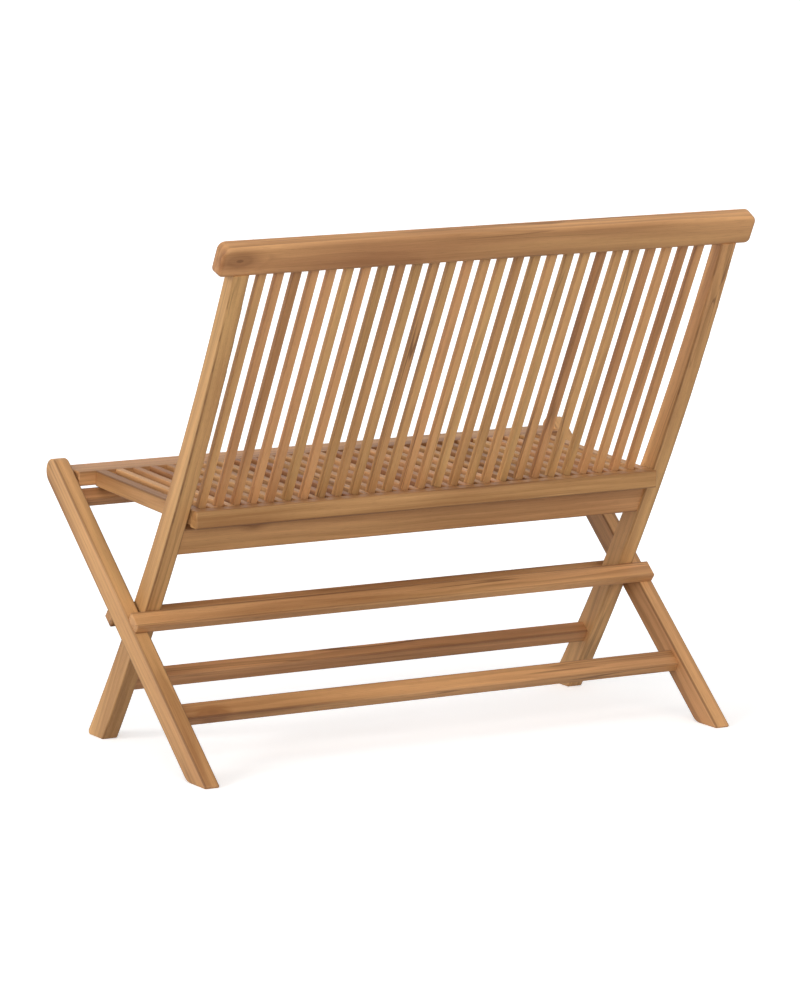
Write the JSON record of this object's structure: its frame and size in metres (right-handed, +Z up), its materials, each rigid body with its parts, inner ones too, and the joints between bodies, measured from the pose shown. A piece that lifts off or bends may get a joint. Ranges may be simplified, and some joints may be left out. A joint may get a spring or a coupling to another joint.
{
  "type": "folding garden bench",
  "caption": "Folding slatted teak garden bench: straight legs cross curved back stiles at a pivot, stop bars hold it open and the slatted seat swings up between the back slats.",
  "frame": {"origin": "on the floor, midway across the width and midway between the seat nose and the rear of the top rail, with the bench open", "axes": "+X across the bench to the sitter's left, -Y the way the sitter faces, +Z up"},
  "size_m": [1.0136, 0.6598, 0.8997],
  "materials": {
    "teak_leg_frame": "smooth sanded teak, oiled",
    "teak_back_frame": "smooth sanded teak, oiled",
    "teak_seat_frame": "smooth sanded teak, oiled",
    "teak_back_slats": "smooth sanded teak, oiled",
    "teak_seat_slats": "smooth sanded teak, oiled",
    "hardware": "plain turned brass"
  },
  "bodies": {
    "leg_frame": {"leg_left": "teak_leg_frame", "leg_right": "teak_leg_frame", "upper_front_rail": "teak_leg_frame", "rear_stretcher": "teak_leg_frame", "stop_bar_rear": "teak_leg_frame", "stop_bar_front": "teak_leg_frame", "stop_bar_dowels": "teak_leg_frame", "pivot_bolts": "hardware", "pivot_inserts": "hardware", "pivot_washers": "hardware"},
    "back": {"stile_left": "teak_back_frame", "stile_right": "teak_back_frame", "top_rail": "teak_back_frame", "lower_back_rail": "teak_back_frame", "front_stretcher": "teak_back_frame", "back_slat_01": "teak_back_slats", "back_slat_02": "teak_back_slats", "back_slat_03": "teak_back_slats", "back_slat_04": "teak_back_slats", "back_slat_05": "teak_back_slats", "back_slat_06": "teak_back_slats", "back_slat_07": "teak_back_slats", "back_slat_08": "teak_back_slats", "back_slat_09": "teak_back_slats", "back_slat_10": "teak_back_slats", "back_slat_11": "teak_back_slats", "back_slat_12": "teak_back_slats", "back_slat_13": "teak_back_slats", "back_slat_14": "teak_back_slats", "back_slat_15": "teak_back_slats", "back_slat_16": "teak_back_slats", "back_slat_17": "teak_back_slats", "back_slat_18": "teak_back_slats", "back_slat_19": "teak_back_slats", "back_slat_20": "teak_back_slats", "back_slat_21": "teak_back_slats", "back_slat_22": "teak_back_slats", "back_slat_23": "teak_back_slats", "back_slat_24": "teak_back_slats", "back_slat_25": "teak_back_slats", "back_slat_26": "teak_back_slats", "back_slat_27": "teak_back_slats"},
    "seat": {"seat_front_rail": "teak_seat_frame", "seat_rear_rail": "teak_seat_frame", "seat_side_rail_left": "teak_seat_frame", "seat_side_rail_right": "teak_seat_frame", "seat_pivot_pins": "hardware", "seat_slats_01": "teak_seat_slats", "seat_slats_02": "teak_seat_slats", "seat_slats_03": "teak_seat_slats", "seat_slats_04": "teak_seat_slats", "seat_slats_05": "teak_seat_slats", "seat_slats_06": "teak_seat_slats", "seat_slats_07": "teak_seat_slats", "seat_slats_08": "teak_seat_slats", "seat_slats_09": "teak_seat_slats", "seat_slats_10": "teak_seat_slats", "seat_slats_11": "teak_seat_slats", "seat_slats_12": "teak_seat_slats", "seat_slats_13": "teak_seat_slats"}
  },
  "joints": [
    {"name": "back_fold", "type": "hinge", "parent": "leg_frame", "child": "back", "pos_m": [0, -0.04934, 0.2307], "axis": [1, 0, 0], "range_deg": [0, 73]},
    {"name": "seat_fold", "type": "hinge", "parent": "leg_frame", "child": "seat", "pos_m": [0, -0.29678, 0.43832], "axis": [1, 0, 0], "range_deg": [0, 122.64]}
  ],
  "couplings": [
    {"joint": "seat_fold", "follows": "back_fold", "ratio": 1.68}
  ]
}
